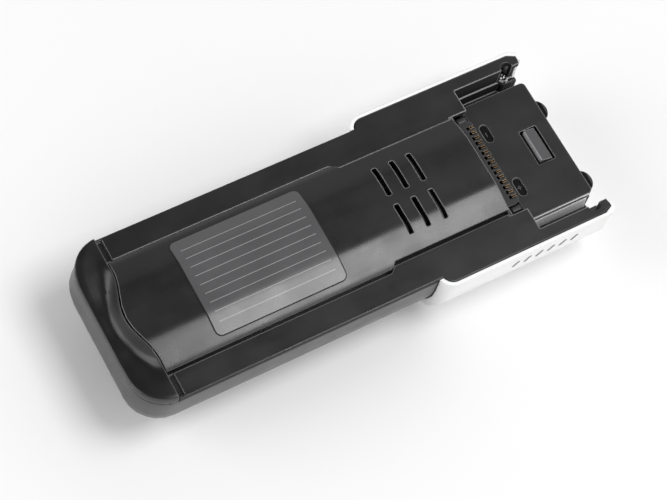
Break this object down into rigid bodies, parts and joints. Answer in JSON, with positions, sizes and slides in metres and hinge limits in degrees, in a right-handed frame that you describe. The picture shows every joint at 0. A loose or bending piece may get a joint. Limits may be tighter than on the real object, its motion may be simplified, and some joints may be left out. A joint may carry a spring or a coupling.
{
  "type": "rechargeable battery pack",
  "caption": "Slide-in rechargeable battery pack with a rounded black body, a white shell at the connector end, rail channels, fork contacts and a sprung latch.",
  "frame": {"origin": "under the middle of the pack's box, on the flat back that it lies on", "axes": "+Z out of the mating face, +X along the pack towards the connector end, Y across"},
  "size_m": [0.2258, 0.0856, 0.0456],
  "materials": {
    "black_satin_plastic": "black plastic with a fine satin grain",
    "black_gloss_plastic": "black plastic, semi-gloss",
    "white_gloss_plastic": "white plastic, gloss",
    "label_sheet": "dark grey printed film",
    "contact_brass": "bare brass sheet",
    "grey_plastic": "dark grey plastic, satin",
    "steel": "bright steel",
    "cell_can": "steel can in a dark shrink sleeve",
    "holder_plastic": "black plastic, matt",
    "nickel_strip": "nickel-plated strip",
    "board_laminate": "circuit-board laminate with a black solder mask"
  },
  "bodies": {
    "housing": {"back_tray": "black_gloss_plastic", "front_frame": "black_satin_plastic", "cell_cover": "black_satin_plastic", "end_cap": "black_satin_plastic", "connector_cover": "black_satin_plastic", "side_shell": "white_gloss_plastic", "label": "label_sheet", "contact_carrier": "black_satin_plastic", "contact_01": "contact_brass", "contact_02": "contact_brass", "contact_03": "contact_brass", "contact_04": "contact_brass", "contact_05": "contact_brass", "contact_06": "contact_brass", "contact_07": "contact_brass", "contact_08": "contact_brass", "contact_09": "contact_brass", "contact_10": "contact_brass", "contact_11": "contact_brass", "contact_12": "contact_brass", "contact_13": "contact_brass", "contact_14": "contact_brass", "contact_15": "contact_brass", "cell_1": "cell_can", "cell_2": "cell_can", "cell_3": "cell_can", "cell_4": "cell_can", "cell_5": "cell_can", "cell_6": "cell_can", "cell_7": "cell_can", "cell_8": "cell_can", "rear_cell_holder": "holder_plastic", "middle_cell_holder": "holder_plastic", "front_cell_holder": "holder_plastic", "rear_link_far": "nickel_strip", "rear_link_near": "nickel_strip", "middle_link_low_far": "nickel_strip", "middle_link_low_near": "nickel_strip", "middle_link_high_far": "nickel_strip", "middle_link_high_near": "nickel_strip", "front_link": "nickel_strip", "output_tab_far": "nickel_strip", "output_tab_near": "nickel_strip", "circuit_board": "board_laminate", "latch_pin": "steel", "latch_spring": "steel", "channel_screw_far": "steel", "channel_screw_near": "steel"},
    "latch": {"latch_lever": "grey_plastic"},
    "button": {"release_button": "grey_plastic"}
  },
  "joints": [
    {"name": "latch_tilt", "type": "hinge", "parent": "housing", "child": "latch", "pos_m": [0.07915, 0, 0.0295], "axis": [0, 1, 0], "range_deg": [0, 7], "stiffness_Nm_per_rad": 0.0005, "springref_deg": -8.59, "deforming": ["latch_spring"]},
    {"name": "button_press", "type": "slide", "parent": "housing", "child": "button", "axis": [0, 0, 1], "range_m": [0, 0.0012], "stiffness_N_per_m": 30, "springref_m": -0.001}
  ],
  "couplings": [
    {"joint": "latch_tilt", "follows": "button_press", "rad_per_m": 101.8}
  ]
}
